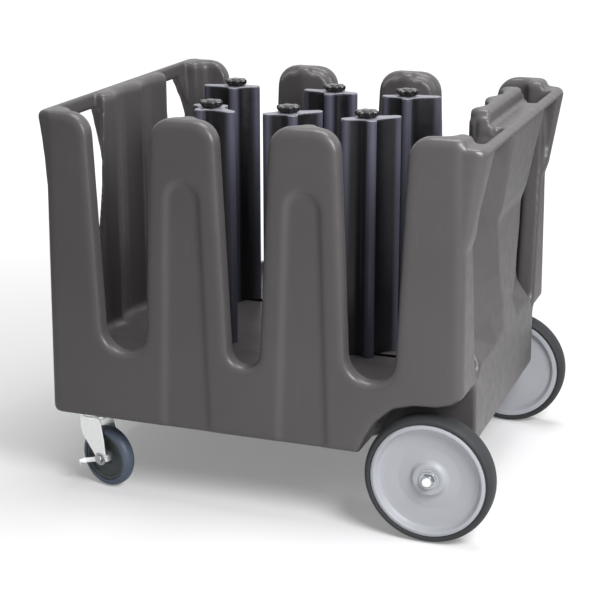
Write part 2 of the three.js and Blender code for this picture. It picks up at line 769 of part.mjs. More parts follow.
function tower({ name, slot, side, offset, turn }) {
  const group = new THREE.Group();
  group.position.set(slot * TOWER.slotPitch + offset, side * TOWER.y, 0);
  cart.add(group);
  const turning = new THREE.Group();
  turning.rotation.z = radians(turn);
  group.add(turning);
  const column = upright(starOutline(0), [starOutline(TOWER.wall).reverse()], TUB.floor + GAP, columnTop);
  const cap = upright(starOutline(0), [rodHole().reverse()], columnTop + GAP, TOWER.top);
  place(turning, `tower_column_${name}`, column, towerPlastic());
  place(turning, `tower_cap_${name}`, cap, capPlastic());
  place(group, `tower_knob_${name}`, knobGeometry(), knobPlastic());
  const rodLow = clampTop - CLAMP.thick - 4;
  const rod = new THREE.CylinderGeometry(TOWER.rod, TOWER.rod, rodTop - rodLow, 12).rotateX(Math.PI / 2);
  place(group, `tower_rod_${name}`, rod.translate(0, 0, (rodTop + rodLow) / 2), zincSteel());
  const clamp = roundedRectangle(CLAMP.halfLength, CLAMP.halfWidth, 4, 2);
  const plate = upright(clamp, [clampHole().reverse()], clampTop - CLAMP.thick, clampTop);
  place(group, `tower_clamp_${name}`, plate, zincSteel());
}

// ---------------------------------------------------------------- large wheels and axle

// heights of the hub's boss and of its inner side, from the middle of the wheel
const hubFace = 15;
const hubBack = 2 - WHEEL.width / 2;
const rim = WHEEL.radius - WHEEL.tread;

function wheelHub() {
  const h = -hubBack;
  const { boss, bore } = WHEEL;
  const edge = rim - GAP;
  return turned(
    [
      [bore, -h],
      [boss, -h],
      [boss + 4, -8],
      [rim - 17, -8],
      [rim - 11, -h],
      [edge, -h],
      [edge, h],
      [rim - 9, h + 2],
      [rim - 15, 11],
      [rim - 52, 5],
      [boss + 5, 8],
      [boss - 2, hubFace],
      [bore, hubFace],
    ],
    32,
  );
}

function wheelTyre() {
  const h = WHEEL.width / 2;
  const { radius } = WHEEL;
  return turned(
    [
      [rim, -h + 2],
      [rim + 6, -h],
      [radius - 2.5, -h + 6],
      [radius, -h + 14],
      [radius, h - 14],
      [radius - 2.5, h - 6],
      [rim + 6, h],
      [rim, h - 2],
    ],
    32,
  );
}

const ring = (outer, bore, low, high, steps) =>
  turned([[bore, low], [outer, low], [outer, high], [bore, high]], steps);

function hexNut(across, bore, low, high) {
  return upright(circle(across, 6), [circle(bore, 12).reverse()], low, high);
}

function bracket() {
  const { halfLength, plate, eye, width } = BRACKET;
  const top = TUB.bottom - GAP;
  const under = top - plate;
  const outline = [
    v2(-halfLength, top),
    v2(-halfLength, under),
    v2(-eye - 12, under),
    ...arc(0, WHEEL.radius, eye, 200, 340, 8),
    v2(eye + 12, under),
    v2(halfLength, under),
    v2(halfLength, top),
  ];
  const bore = circle(WHEEL.bore, 16).map((p) => v2(p.x, p.y + WHEEL.radius));
  const shape = new THREE.Shape(outline);
  shape.holes = [new THREE.Path(bore.reverse())];
  const blank = new THREE.ExtrudeGeometry(shape, { depth: width, bevelEnabled: false });
  return blank.rotateX(Math.PI / 2).translate(0, width / 2, 0);
}

function axleGroup() {
  const group = new THREE.Group();
  group.position.set(wheelX, 0, 0);
  cart.add(group);
  const bar = new THREE.CylinderGeometry(AXLE.radius, AXLE.radius, 2 * AXLE.halfLength, 20);
  place(group, 'wheel_axle', bar.translate(0, 0, WHEEL.radius), zincSteel());
  for (const { name, side } of SIDES) {
    const middle = wheelFace - WHEEL.width / 2;
    const wheel = new THREE.Group();
    wheel.position.set(0, side * middle, WHEEL.radius);
    wheel.rotation.x = (-side * Math.PI) / 2; // local +Z points out of the cart
    group.add(wheel);
    place(wheel, `wheel_hub_${name}`, wheelHub(), wheelPlastic());
    place(wheel, `wheel_tyre_${name}`, wheelTyre(), tyreRubber());
    const washerLow = hubFace + GAP;
    const nutLow = washerLow + AXLE.washerThick + GAP;
    const washer = ring(AXLE.washer, WHEEL.bore, washerLow, nutLow - GAP, 24);
    place(wheel, `axle_washer_${name}`, washer, zincSteel());
    const nut = hexNut(AXLE.nut, WHEEL.bore, nutLow, nutLow + AXLE.nutThick);
    place(wheel, `axle_nut_${name}`, nut, zincSteel());
    const sleeveLow = BRACKET.y + BRACKET.width / 2 + GAP - middle;
    const sleeve = ring(AXLE.sleeve, WHEEL.bore, sleeveLow, hubBack - GAP, 20);
    place(wheel, `axle_sleeve_${name}`, sleeve, zincSteel());
    place(group, `axle_bracket_${name}`, bracket().translate(0, side * BRACKET.y, 0), zincSteel());
  }
}

// ---------------------------------------------------------------- swivel casters

const casterTop = TUB.bottom - GAP;
const raceLow = casterTop - CASTER.plate.thick - CASTER.race.depth;
const crownTop = raceLow - GAP;
const crownLow = crownTop - CASTER.crown.thick;

// fixed plate with its race and the riveted king pin
function casterPlate() {
  const { plate, race, pin } = CASTER;
  const flat = upright(
    roundedRectangle(plate.halfX, plate.halfY, plate.corner, 3),
    [],
    casterTop - plate.thick,
    casterTop,
  );
  const under = casterTop - plate.thick;
  const headTop = crownLow - GAP;
  const headLow = headTop - pin.headThick;
  const stem = turned(
    [
      [0, under + 1],
      [race.radius - 7, under + 1],
      [race.radius, raceLow + 4],
      [race.radius - 3, raceLow],
      [pin.radius, raceLow],
      [pin.radius, headTop],
      [pin.head, headTop],
      [pin.head - 2, headLow],
      [0, headLow],
    ].reverse(),
    24,
  );
  return geometryOf(solid(flat).add(solid(stem)));
}

function fork() {
  const { trail, radius, width, leg, crown, pin } = CASTER;
  const outside = width / 2 + leg.clear + leg.thick;
  const boltHole = circle(CASTER.bolt.radius + GAP, 12);
  const cheek = [
    v2(-leg.top, crownTop - 1),
    v2(-leg.top, crownLow - 14),
    ...arc(trail, radius, leg.foot, 190, 370, 8),
    v2(leg.top + 2, crownLow - 8),
    v2(leg.top + 2, crownTop - 1),
  ];
  const shape = new THREE.Shape(cheek);
  shape.holes = [new THREE.Path(boltHole.map((p) => v2(p.x + trail, p.y + radius)).reverse())];
  const cheeks = [outside, -outside + leg.thick].map((y) => {
    const blank = new THREE.ExtrudeGeometry(shape, { depth: leg.thick, bevelEnabled: false });
    return solid(blank.rotateX(Math.PI / 2).translate(0, y, 0));
  });
  const disc = solid(upright(circle(crown.radius, 24), [], crownLow, crownTop));
  const bore = solid(upright(circle(pin.radius + 2 * GAP, 16), [], crownLow - 1, crownTop + 1));
  return geometryOf(joined([disc, ...cheeks]).subtract(bore));
}

function casterCore() {
  const { rim, width, bolt, leg } = CASTER;
  const h = width / 2;
  const face = h + leg.clear - GAP;
  const bore = bolt.radius + GAP;
  return turned(
    [
      [bore, -face],
      [14, -face],
      [17, -6],
      [rim - 10, -6],
      [rim - 6, -h + 3],
      [rim - GAP, -h + 3],
      [rim - GAP, h - 3],
      [rim - 6, h - 3],
      [rim - 10, 6],
      [17, 6],
      [14, face],
      [bore, face],
    ],
    24,
  );
}

function casterTyre() {
  const { rim, radius, width } = CASTER;
  const h = width / 2;
  return turned(
    [
      [rim, -h + 2],
      [rim + 4, -h],
      [radius - 3, -h + 4],
      [radius, -h + 11],
      [radius, h - 11],
      [radius - 3, h - 4],
      [rim + 4, h],
      [rim, h - 2],
    ],
    24,
  );
}

// bolt along local Z, its head at the outer side
function casterBolt() {
  const { width, leg, bolt, pedal } = CASTER;
  const outside = width / 2 + leg.clear + leg.thick + GAP;
  const headLow = outside + pedal.thick + 2 * GAP;
  const shank = solid(upright(circle(bolt.radius, 12), [], -outside - bolt.headThick + 1, headLow + 1));
  const head = solid(upright(circle(bolt.head, 6), [], headLow, headLow + bolt.headThick));
  const nut = solid(upright(circle(bolt.head, 6), [], -outside - bolt.headThick, -outside));
  return geometryOf(joined([shank, head, nut]));
}

// side brake lever that rocks on the caster's axle, with a foot tab at each end
function brakePedal() {
  const { width, leg, bolt, pedal } = CASTER;
  const low = width / 2 + leg.clear + leg.thick + 2 * GAP;
  const high = low + pedal.thick;
  const lever = solid(upright(
    [
      v2(-pedal.back, -pedal.half),
      ...arc(0, 0, pedal.eye, 200, 340, 5),
      v2(pedal.front, -pedal.half),
      v2(pedal.front, pedal.half),
      ...arc(0, 0, pedal.eye, 20, 160, 5),
      v2(-pedal.back, pedal.half),
    ],
    [circle(bolt.radius + GAP, 12).reverse()],
    low,
    high,
  ));
  const inset = pedal.thick / 2;
  const tab = (x) => box(x - inset, x + inset, -pedal.half, pedal.half, low, high + pedal.tab);
  return geometryOf(joined([lever, tab(inset - pedal.back), tab(pedal.front - inset)]));
}

function caster({ name, side }) {
  const group = new THREE.Group();
  group.position.set(CASTER.x, side * CASTER.y, 0);
  cart.add(group);
  place(group, `caster_plate_${name}`, casterPlate(), zincSteel());
  const swivel = new THREE.Group();
  swivel.rotation.z = radians(side * CASTER.turned);
  group.add(swivel);
  place(swivel, `caster_fork_${name}`, fork(), zincSteel());
  const axis = new THREE.Group();
  axis.position.set(CASTER.trail, 0, CASTER.radius);
  axis.rotation.x = (-side * Math.PI) / 2; // local +Z points out of the cart
  swivel.add(axis);
  place(axis, `caster_core_${name}`, casterCore(), wheelPlastic());
  place(axis, `caster_tyre_${name}`, casterTyre(), tyreRubber());
  place(axis, `caster_bolt_${name}`, casterBolt(), zincSteel());
  const pedal = place(axis, `brake_pedal_${name}`, brakePedal(), zincSteel());
  pedal.rotation.z = radians(-side * CASTER.pedal.tilt);
}

// ---------------------------------------------------------------- scene graph

const cart = new THREE.Group();

function place(parent, name, geometry, material) {
  const mesh = new THREE.Mesh(geometry, material);
  mesh.name = name;
  parent.add(mesh);
  return mesh;
}

place(cart, 'tub_body', tubBody(), tubPlastic());
TOWERS.forEach(tower);
axleGroup();
SIDES.forEach(caster);

const rearEnd = wheelX + WHEEL.radius;
const frontEnd = TUB.halfLength + ENDS.front.rail.out;
cart.position.x = (frontEnd - rearEnd) / 2;

export default cart;
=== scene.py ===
"""The looks of the plate dispenser cart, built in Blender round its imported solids."""

import json
import math

import bmesh
import bpy
from mathutils import Matrix, Vector

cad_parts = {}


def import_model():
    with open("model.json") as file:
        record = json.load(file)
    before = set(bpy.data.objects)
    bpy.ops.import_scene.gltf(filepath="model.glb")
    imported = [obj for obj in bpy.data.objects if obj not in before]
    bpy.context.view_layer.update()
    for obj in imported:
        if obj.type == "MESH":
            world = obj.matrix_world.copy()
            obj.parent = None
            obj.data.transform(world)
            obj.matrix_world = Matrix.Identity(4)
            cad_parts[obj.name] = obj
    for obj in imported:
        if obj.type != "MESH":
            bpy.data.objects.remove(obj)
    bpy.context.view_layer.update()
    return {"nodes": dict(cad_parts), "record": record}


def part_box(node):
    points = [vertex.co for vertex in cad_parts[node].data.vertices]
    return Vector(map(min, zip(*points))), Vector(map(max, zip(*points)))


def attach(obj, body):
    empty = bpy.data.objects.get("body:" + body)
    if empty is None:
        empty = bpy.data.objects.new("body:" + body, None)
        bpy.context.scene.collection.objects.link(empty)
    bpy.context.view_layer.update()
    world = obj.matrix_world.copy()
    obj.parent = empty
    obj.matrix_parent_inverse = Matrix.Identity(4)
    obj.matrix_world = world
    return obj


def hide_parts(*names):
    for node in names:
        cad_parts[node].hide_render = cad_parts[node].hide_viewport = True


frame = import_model()
nodes = frame["nodes"]
record = frame["record"]
BODY = {node: body for body, names in record["behaviour"]["bodies"].items() for node in names}
SLOT = {part["node"]: part["material_slot"] for part in record["subparts"]}
SIDES = (("left", -1), ("right", 1))
TOWERS = [n[len("tower_cap_"):] for n in sorted(nodes) if n.startswith("tower_cap_")]


# ---------------------------------------------------------------- materials

class Graph:
    """One material's node tree, with short ways to add and join its nodes."""

    def __init__(self, name):
        self.material = bpy.data.materials.new(name)
        self.material.use_nodes = True
        self.tree = self.material.node_tree
        self.shader = self.tree.nodes["Principled BSDF"]
        self.place = self.add("ShaderNodeTexCoord").outputs["Object"]

    def add(self, kind, **settings):
        node = self.tree.nodes.new(kind)
        for key, value in settings.items():
            setattr(node, key, value)
        return node

    def join(self, source, target):
        self.tree.links.new(source, target)

    def stretched(self, scale):
        mapping = self.add("ShaderNodeMapping")
        mapping.inputs["Scale"].default_value = scale
        self.join(self.place, mapping.inputs["Vector"])
        return mapping.outputs["Vector"]

    def noise(self, scale, detail, roughness, vector=None):
        node = self.add("ShaderNodeTexNoise")
        node.inputs["Scale"].default_value = scale
        node.inputs["Detail"].default_value = detail
        node.inputs["Roughness"].default_value = roughness
        self.join(vector or self.place, node.inputs["Vector"])
        return node.outputs["Fac"]

    def ramp(self, value, stops):
        node = self.add("ShaderNodeValToRGB")
        for element, (at, colour) in zip(node.color_ramp.elements, stops):
            element.position = at
            element.color = (*colour, 1)
        self.join(value, node.inputs["Fac"])
        return node.outputs["Color"]

    def span(self, value, low, high, start=0.3, end=0.7):
        """Turns start to end of a value into low to high."""
        node = self.add("ShaderNodeMapRange")
        ends = (("From Min", start), ("From Max", end), ("To Min", low), ("To Max", high))
        for key, number in ends:
            node.inputs[key].default_value = number
        self.join(value, node.inputs["Value"])
        return node.outputs["Result"]

    def times(self, first, second):
        node = self.add("ShaderNodeMath", operation="MULTIPLY")
        self.join(first, node.inputs[0])
        self.join(second, node.inputs[1])
        return node.outputs["Value"]

    def blend(self, share, first, second):
        node = self.add("ShaderNodeMix", data_type="RGBA")
        self.join(share, node.inputs["Factor"])
        self.join(first, node.inputs["A"])
        self.join(second, node.inputs["B"])
        return node.outputs["Result"]

    def bump(self, height, depth_mm, before=None):
        node = self.add("ShaderNodeBump")
        node.inputs["Strength"].default_value = 1
        node.inputs["Distance"].default_value = depth_mm / 1000
        self.join(height, node.inputs["Height"])
        if before is not None:
            self.join(before, node.inputs["Normal"])
        return node.outputs["Normal"]

    def drive(self, **sources):
        for key, source in sources.items():
            self.join(source, self.shader.inputs[key.replace("_", " ")])


def linear(red, green, blue):
    """A colour given as 0-255 screen values, as the shader takes it."""
    share = [v / 255 for v in (red, green, blue)]
    return tuple(v / 12.92 if v <= 0.04045 else ((v + 0.055) / 1.055) ** 2.4 for v in share)


def shades(colour, spread):
    """A darker and a lighter version of a colour."""
    return [tuple(v * (1 + sign * spread) for v in colour) for sign in (-1, 1)]


def plastic(name, colour, roughness, spread, grain, depth, streak=(1, 1, 1), painted_hollow_shade=False):
    """Moulded plastic: slow colour drift, faint scuffs, wiped gloss and a fine leathery skin.

    With painted hollow shade, the mesh's own attribute keeps the arms' ends at the plastic's colour
    and paints the hollows near black as shade."""
    graph = Graph(name)
    dark, light = shades(colour, spread)
    cloud = graph.noise(5, 5, 0.6, graph.stretched(streak))
    drift = graph.ramp(cloud, [(0.32, dark), (0.68, light)])
    lines = graph.noise(210, 2, 0.4, graph.stretched((1, 1, 0.06)))
    patches = graph.noise(7, 4, 0.6)
    scratches = graph.times(
        graph.span(lines, 0, 1, 0.64, 0.7),
        graph.span(patches, 0, 0.35, 0.5, 0.66),
    )
    pale = tuple(0.75 * v + 0.05 for v in colour)
    marked = graph.blend(scratches, drift, graph.ramp(scratches, [(0, pale), (1, pale)]))
    if painted_hollow_shade:
        # Painted shade: where the mesh attribute falls to 0, in the hollows between the towers' arms,
        # the colour goes near black (7 % of the plastic's colour).
        out_of_shade = graph.add("ShaderNodeAttribute", attribute_name="painted_hollow_shade").outputs["Fac"]
        painted_shade = tuple(0.07 * v for v in colour)
        marked = graph.blend(out_of_shade, graph.ramp(drift, [(0, painted_shade), (1, painted_shade)]), marked)
    gloss = graph.noise(38, 6, 0.65)
    skin = graph.bump(graph.noise(grain, 3, 0.6), depth)
    ripple = graph.noise(26, 2, 0.5)
    graph.drive(
        Base_Color=marked,
        Roughness=graph.span(gloss, roughness - 0.05, roughness + 0.07),
        Normal=graph.bump(ripple, depth * 3, skin),
    )
    graph.shader.inputs["Specular IOR Level"].default_value = 0.5
    return graph.material


def plated(name, colour, roughness, depth):
    """Plated steel: faint spangle, fine grain and uneven gloss."""
    graph = Graph(name)
    dark, light = shades(colour, 0.04)
    spangle = graph.noise(160, 4, 0.6)
    grain = graph.noise(700, 4, 0.6)
    graph.drive(
        Base_Color=graph.ramp(spangle, [(0.3, dark), (0.7, light)]),
        Roughness=graph.span(grain, roughness - 0.07, roughness + 0.09),
        Normal=graph.bump(grain, depth),
    )
    graph.shader.inputs["Metallic"].default_value = 1
    return graph.material


def rubber(name, colour, roughness):
    """Moulded rubber: dull, dusty in patches, with a fine tooth."""
    graph = Graph(name)
    dark, light = shades(colour, 0.16)
    dust = graph.noise(24, 6, 0.65)
    graph.drive(
        Base_Color=graph.ramp(dust, [(0.35, dark), (0.7, light)]),
        Roughness=graph.span(dust, roughness - 0.06, roughness + 0.1),
        Normal=graph.bump(graph.noise(1400, 3, 0.6), 0.08),
    )
    return graph.material


TOWER_STREAK = (1, 1, 0.1)  # draws the towers' colour drift out upwards
MATERIALS = {name: make(name, *values) for make, name, *values in (
    (plastic, "tub_plastic", linear(75, 72, 73), 0.38, 0.05, 700, 0.05),
    # The towers' plastic takes painted shade in the hollows between their arms.
    (plastic, "tower_plastic", linear(76, 76, 90), 0.34, 0.07, 1100, 0.02, TOWER_STREAK, True),
    # The caps' pale colour is painted light: it stands for the light their upward faces catch.
    (plastic, "cap_plastic", linear(128, 128, 138), 0.4, 0.05, 1100, 0.02),
    (plastic, "knob_plastic", linear(24, 24, 26), 0.24, 0.1, 1300, 0.01),
    (plastic, "wheel_plastic", linear(166, 168, 174), 0.42, 0.03, 900, 0.02),
    (plastic, "core_plastic", linear(66, 72, 72), 0.45, 0.06, 900, 0.03),
    (rubber, "tyre_rubber", linear(40, 42, 45), 0.68),
    (rubber, "caster_rubber", linear(78, 88, 104), 0.5),
    (plated, "zinc_steel", (0.93, 0.94, 0.94), 0.36, 0.02),
    (plated, "bright_steel", (0.44, 0.46, 0.48), 0.24, 0.008),
)}


# ---------------------------------------------------------------- mesh helpers, all in millimetres

MM = 1000  # millimetres in a metre, which is Blender's unit here


def new_object(name, mesh, body, slot, replaced=()):
    """Puts a mesh, drawn in the cart's own frame, into the scene as a piece that rides on a body."""
    piece = bpy.data.objects.new(name, mesh)
    bpy.context.scene.collection.objects.link(piece)
    mesh.materials.clear()
    mesh.materials.append(MATERIALS[slot])
    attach(piece, body)
    if replaced:
        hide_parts(*replaced)
    return piece


def stand_in(name, mesh, node):
    """A piece that replaces a CAD node, on the node's body and in its slot."""
    return new_object(name, mesh, BODY[node], SLOT[node], [node])


def mesh_of(name, work):
    """A bmesh made into a mesh."""
    mesh = bpy.data.meshes.new(name)
    work.to_mesh(mesh)
    work.free()
    return mesh


def apply_modifiers(piece):
    bpy.context.view_layer.update()
    evaluated = piece.evaluated_get(bpy.context.evaluated_depsgraph_get())
    mesh = bpy.data.meshes.new_from_object(evaluated)
    piece.modifiers.clear()
    old, piece.data = piece.data, mesh
    bpy.data.meshes.remove(old)


def smooth(mesh, sharp=None):
    """Shades a mesh smooth, except across edges that bend more than an angle in degrees."""
    mesh.polygons.foreach_set("use_smooth", [True] * len(mesh.polygons))
    if sharp is not None:
        mesh.set_sharp_from_angle(angle=math.radians(sharp))


def moved(x, y, z):
    return Matrix.Translation((x, y, z))


def angles(count):
    return [2 * math.pi * i / count for i in range(count)]


def circled(radii, turns, height):
    """Points at one height, each at its own radius and angle."""
    return [(r * math.cos(t), r * math.sin(t), height) for r, t in zip(radii, turns)]


def curved(start, pull, end, share):
    """A place along the curve from start to end that leans towards pull."""
    return (1 - share) ** 2 * start + 2 * share * (1 - share) * pull + share**2 * end


def meshed(name, rings, matrix, loop=False):
    """A skin through rings of equal counts of points; its ends are closed, or joined in a loop."""
    count = len(rings[0])
    points = [matrix @ Vector(p) / MM for ring in rings for p in ring]
    faces = []
    for level in range(len(rings) if loop else len(rings) - 1):
        low, high = level * count, (level + 1) % len(rings) * count
        for i in range(count):
            j = (i + 1) % count
            faces.append((low + i, low + j, high + j, high + i))
    if not loop:
        faces.append(tuple(reversed(range(count))))
        faces.append(tuple((len(rings) - 1) * count + i for i in range(count)))
    mesh = bpy.data.meshes.new(name)
    mesh.from_pydata(points, [], faces)
    work = bmesh.new()
    work.from_mesh(mesh)
    bmesh.ops.recalc_face_normals(work, faces=work.faces)
    work.to_mesh(mesh)
    work.free()
    return mesh


def filleted(profile, radius, steps):
    """Rounds the corners of a closed profile."""
    out = []
    for i, corner in enumerate(profile):
        here = Vector(corner)
        before = Vector(profile[i - 1]) - here
        after = Vector(profile[(i + 1) % len(profile)]) - here
        reach = min(radius, before.length * 0.48, after.length * 0.48)
        start, end = here + before.normalized() * reach, here + after.normalized() * reach
        out += [tuple(curved(start, here, end, k / steps)) for k in range(steps + 1)]
    return out


def turned(name, profile, rounding, matrix, steps):
    """A ring turned about local Z from a closed profile of (radius, height) pairs.

    Rounding is the radius and the steps of its corners."""
    turns = angles(steps)
    rings = [circled([r] * steps, turns, height) for r, height in filleted(profile, *rounding)]
    return meshed(name, rings, matrix, loop=True)


def turned_piece(name, profile, rounding, matrix, steps, node):
    mesh = turned(name, profile, rounding, matrix, steps)
    smooth(mesh, 50)
    stand_in(name, mesh, node)


def refined(name, width, sharp=38):
    """A CAD node's shape with its edges broken, which stands for the node."""
    work = bmesh.new()
    work.from_mesh(nodes[name].data)
    bmesh.ops.remove_doubles(work, verts=work.verts, dist=2e-5)
    bmesh.ops.dissolve_limit(work, angle_limit=math.radians(1), verts=work.verts, edges=work.edges)
    piece = stand_in(name + "_detailed", mesh_of(name + "_detailed", work), name)
    bevel = piece.modifiers.new("bevel", "BEVEL")
    bevel.width = width / MM
    bevel.segments = 2
    bevel.limit_method = "ANGLE"
    bevel.angle_limit = math.radians(sharp)
    apply_modifiers(piece)
    smooth(piece.data, sharp)


def hexagonal(radius, levels):
    """Rings of a hexagon, each cut round at its own (limit, height)."""
    side, turns = math.pi / 3, angles(72)
    reaches = [radius * math.cos(side / 2) / math.cos(t % side - side / 2) for t in turns]
    return [circled([min(r, limit) for r in reaches], turns, height) for limit, height in levels]


def chamfered(radius, low, high, chamfer):
    """A hexagon's levels, from the face that bears, at low, to its outer face."""
    flat = radius * math.cos(math.pi / 6) - 0.2
    step = math.copysign(chamfer, high - low)
    return [(flat, low), (radius, low + step), (radius, high - step), (flat, high)]


BOLT_SEAT = 160.6  # height of the plates' and brackets' undersides


def bolt_heads(name, across, down, radius, foot, middle):
    """Four bolt heads at the corners of a rectangle, named after their place in it."""
    for x in (-across, across):
        for y in (-down, down):
            piece = f"{name}_{x + across}_{y + down}"
            rings = hexagonal(radius, chamfered(radius, BOLT_SEAT, foot, 0.9))
            mesh = meshed(piece, rings, middle @ moved(x, y, 0))
            smooth(mesh, 25)
            new_object(piece, mesh, "cart", "bright_steel")


# ---------------------------------------------------------------- tub

TUB_MIDDLE = -26  # where the middle of the tub stands along X
VOXEL = 3.6
SMOOTHING = 10  # rounds, which melt the voxels' steps and round the moulding's edges

# The air between the walls: the X, Y and Z ranges of boxes, with X from the tub's middle.
BASE_AIR = (
    ((-417, 206), (-358, 358), (168, 256)),
    ((200, 417), (-249, 249), (168, 256)),
)
PILLAR_AIR = (  # on both sides; the last one joins the rear post to the base
    ((-162, -96), (334, 357), (252, 738)),
    ((80, 146), (334, 357), (252, 738)),
    ((-387, -341), (334, 357), (252, 738)),
    ((325, 387), (334, 357), (315, 738)),
    ((355, 369), (338.5, 352.5), (279, 327)),
)


def block(work, ranges):
    """Adds a closed box to a bmesh."""
    centre = Vector([sum(r) for r in ranges]) / 2 / MM
    size = Vector([r[1] - r[0] for r in ranges]) / MM
    matrix = Matrix.Translation(centre) @ Matrix.Diagonal((*size, 1))
    bmesh.ops.create_cube(work, size=1, matrix=matrix)


def tub_skin():
    """The tub in one smooth skin, with the air between its walls filled, which nobody sees."""
    work = bmesh.new()
    work.from_mesh(nodes["tub_body"].data)
    pillars = [(x, sorted(side * v for v in y), z) for _, side in SIDES for x, y, z in PILLAR_AIR]
    for x, y, z in (*BASE_AIR, *pillars):
        block(work, ([v + TUB_MIDDLE for v in x], y, z))
    skin = stand_in("tub_skin", mesh_of("tub_skin", work), "tub_body")
    remesh = skin.modifiers.new("remesh", "REMESH")
    remesh.mode = "VOXEL"
    remesh.voxel_size = VOXEL / MM
    soften = skin.modifiers.new("smooth", "SMOOTH")
    soften.factor = 0.5
    soften.iterations = SMOOTHING
    apply_modifiers(skin)
    smooth(skin.data)


tub_skin()

# ---------------------------------------------------------------- large wheels

WHEEL_X, WHEEL_Y, WHEEL_Z = 336, 338, 127
BRACKET_Y = 205

# Profiles are (radius, height) pairs, with height along the axle from the wheel's middle, outwards.
HUB = [
    (10, 15), (19, 15), (19.8, 14.2), (21.6, 14.2), (22.4, 15), (29.4, 15), (31.6, 13.4),
    (34.6, 8.8), (39, 6.4), (61.5, 5.2), (88, 8.6), (96.6, 10.6), (99.8, 13.4), (103.6, 21.6),
    (105.4, 23.9), (108.4, 23.6), (111.6, 22.6), (113.1, 20.4), (113.1, -20.6), (112, -22),
    (103.4, -22), (101.6, -20.4), (97, -9.4), (94, -8), (37, -8), (34.4, -9.4), (31.4, -20.6),
    (30, -22), (10, -22),
]
TYRE = [
    (113.5, -21.6), (115.6, -23.4), (118.6, -24), (121.2, -22.8), (124, -19.4), (126, -14.4),
    (126.9, -8.4), (127, 0), (126.9, 8.4), (126, 14.4), (124, 19.4), (121.2, 22.8), (118.6, 24),
    (115.6, 23.4), (113.5, 21.6),
]
WASHER = [(10, 15.3), (17, 15.3), (17, 17.8), (10, 17.8)]
NUT_CORNER, NUT_BORE, NUT_FOOT = 13.4, 10, 18.2
NUT = chamfered(NUT_CORNER, NUT_FOOT, 25, 1.2)  # a lock nut: its hexagon, its collar, its bore
NUT += [(11.4, 25), (11.4, 26.26), (NUT_BORE, 27.1), (NUT_BORE, NUT_FOOT)]


def large_wheel(name, side):
    """One large wheel with its nut, washer, sleeve and bracket."""
    middle = moved(WHEEL_X, side * WHEEL_Y, WHEEL_Z)
    outwards = middle @ Matrix.Rotation(-side * math.pi / 2, 4, "X")
    turned_piece(f"hub_{name}", HUB, (1.6, 3), outwards, 96, f"wheel_hub_{name}")
    turned_piece(f"tyre_{name}", TYRE, (1.2, 2), outwards, 96, f"wheel_tyre_{name}")
    turned_piece(f"washer_{name}", WASHER, (0.7, 3), outwards, 64, f"axle_washer_{name}")
    nut = meshed(f"nut_{name}", hexagonal(NUT_CORNER, NUT), outwards, loop=True)
    smooth(nut, 25)
    stand_in(f"nut_{name}", nut, f"axle_nut_{name}")
    bracket = moved(WHEEL_X, side * BRACKET_Y, 0)
    bolt_heads(f"bracket_bolt_{name}", 45, 12, 7, 155.8, bracket)
    refined(f"axle_bracket_{name}", 1.2)
    refined(f"axle_sleeve_{name}", 0.8)


for name, side in SIDES:
    large_wheel(name, side)
refined("wheel_axle", 1.2)

# ---------------------------------------------------------------- swivel casters

CASTER_X, CASTER_Y, CASTER_RADIUS = -390, 300, 63.5
TRAIL = 35  # how far the caster's bolt stands behind its king pin
FORK_TURN = 17  # degrees that the forks stand turned at rest

CORE = [
    (5.3, -18.7), (13, -18.7), (14.4, -17.6), (17, -7.2), (19, -6), (39, -6), (41, -7),
    (43.6, -12.4), (45, -13), (49.7, -13), (49.7, 13), (45, 13), (43.6, 12.4), (41, 7), (39, 6),
    (19, 6), (17, 7.2), (14.4, 17.6), (13, 18.7), (5.3, 18.7),
]
CASTER_TYRE = [
    (50, -13.8), (51.4, -15.4), (53.6, -16), (56, -15.2), (60.2, -11.6), (62.6, -7), (63.5, -2),
    (63.5, 2), (62.6, 7), (60.2, 11.6), (56, 15.2), (53.6, 16), (51.4, 15.4), (50, 13.8),
]
CROWN = [
    (8.8, 149.2), (27.6, 149.2), (29.4, 148.4), (29.4, 143), (27.6, 143), (26.4, 145.4), (8.8, 145.4),
]
CHEEK_FRONT = [(-21, 148.6), (-22, 141), (-21, 118), (-16, 104)]  # X and Z from the king pin
CHEEK_BACK = [(42, 106), (36, 134), (35, 141), (32, 148.6)]
CHEEK_EYE = 12.5  # radius of the cheek round its bolt
CHEEK_EYE_TURNS = range(202, 360, 13)
CHEEK_MIDDLE = Vector((12, 108))
CHEEK_LEVELS = ((1, 19.2), (0, 20.2), (0, 22.1), (1, 23.1))  # how far drawn in, and Y

STAR_WASHER_LOW, STAR_WASHER_HIGH = 27, 28.4
STAR_WASHER_BORE, STAR_WASHER_ROOT, STAR_WASHER_TIP = 9.4, 11.6, 14
STAR_WASHER_STEPS = 64


def star_washer(name, matrix, body):
    """A toothed lock washer."""
    turns = angles(STAR_WASHER_STEPS)
    outer = [STAR_WASHER_TIP if i % 4 < 2 else STAR_WASHER_ROOT for i in range(STAR_WASHER_STEPS)]
    inner = [STAR_WASHER_BORE] * STAR_WASHER_STEPS
    rings = [circled(outer, turns, z) for z in (STAR_WASHER_LOW, STAR_WASHER_HIGH)]
    rings += [circled(inner, turns, z) for z in (STAR_WASHER_HIGH, STAR_WASHER_LOW)]
    mesh = meshed(name, rings, matrix, loop=True)
    smooth(mesh, 25)
    new_object(name, mesh, body, "bright_steel")


